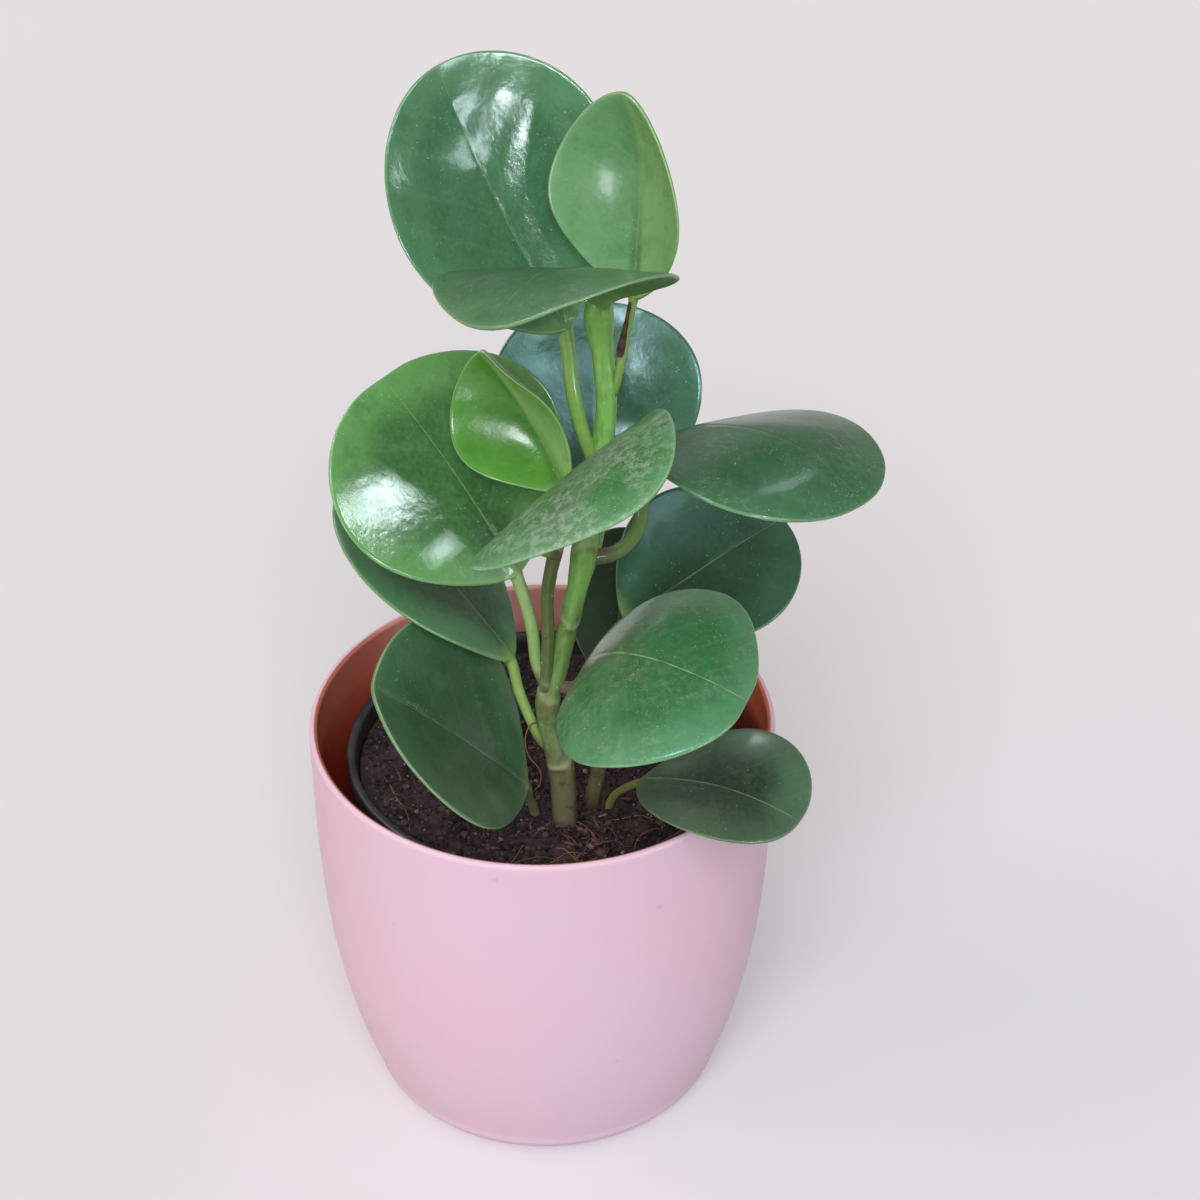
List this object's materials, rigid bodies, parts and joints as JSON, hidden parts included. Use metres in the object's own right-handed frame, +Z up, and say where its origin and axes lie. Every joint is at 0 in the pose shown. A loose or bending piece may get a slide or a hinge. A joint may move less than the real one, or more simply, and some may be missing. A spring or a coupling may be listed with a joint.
{
  "type": "potted peperomia",
  "caption": "Upright house plant with round fleshy glossy leaves on branching green stems, in peat in a thin black nursery pot inside a bell-shaped pale pink cover pot.",
  "frame": {"origin": "centre of the cover pot's flat underside", "axes": "+Z up along the pot's axis, +X to the right and +Y away from the viewer of the plant's front"},
  "size_m": [0.1654, 0.1579, 0.3353],
  "materials": {
    "cover_pot": "smooth matt pale pink, warmer and deeper inside",
    "nursery_pot": "thin black moulded plastic with a faint sheen",
    "soil": "dark moist peat with bark chips and fibres",
    "stem_green": "fleshy green stem with brown leaf scars, satin",
    "stem_old": "older olive stem, satin",
    "leaf_mature": "thick waxy dark green leaf, glossy with dust specks",
    "leaf_young": "young bright green leaf, glossy, pale margin",
    "leaf_shaded": "dark green leaf, satin, pale midrib"
  },
  "bodies": {
    "root": {"cover_pot": "cover_pot", "nursery_pot": "nursery_pot", "soil": "soil", "main_stem": "stem_green", "side_stem": "stem_old", "leaf_crown_left": "leaf_mature", "leaf_crown_young": "leaf_young", "leaf_crown_front": "leaf_mature", "leaf_back_upper": "leaf_mature", "leaf_left_large": "leaf_mature", "leaf_left_young": "leaf_young", "leaf_middle_front": "leaf_mature", "leaf_right_upper": "leaf_mature", "leaf_right_back": "leaf_shaded", "leaf_right_front": "leaf_mature", "leaf_low_right": "leaf_shaded", "leaf_left_under": "leaf_shaded", "leaf_low_left": "leaf_shaded", "leaf_back_low": "leaf_shaded"}
  },
  "joints": []
}
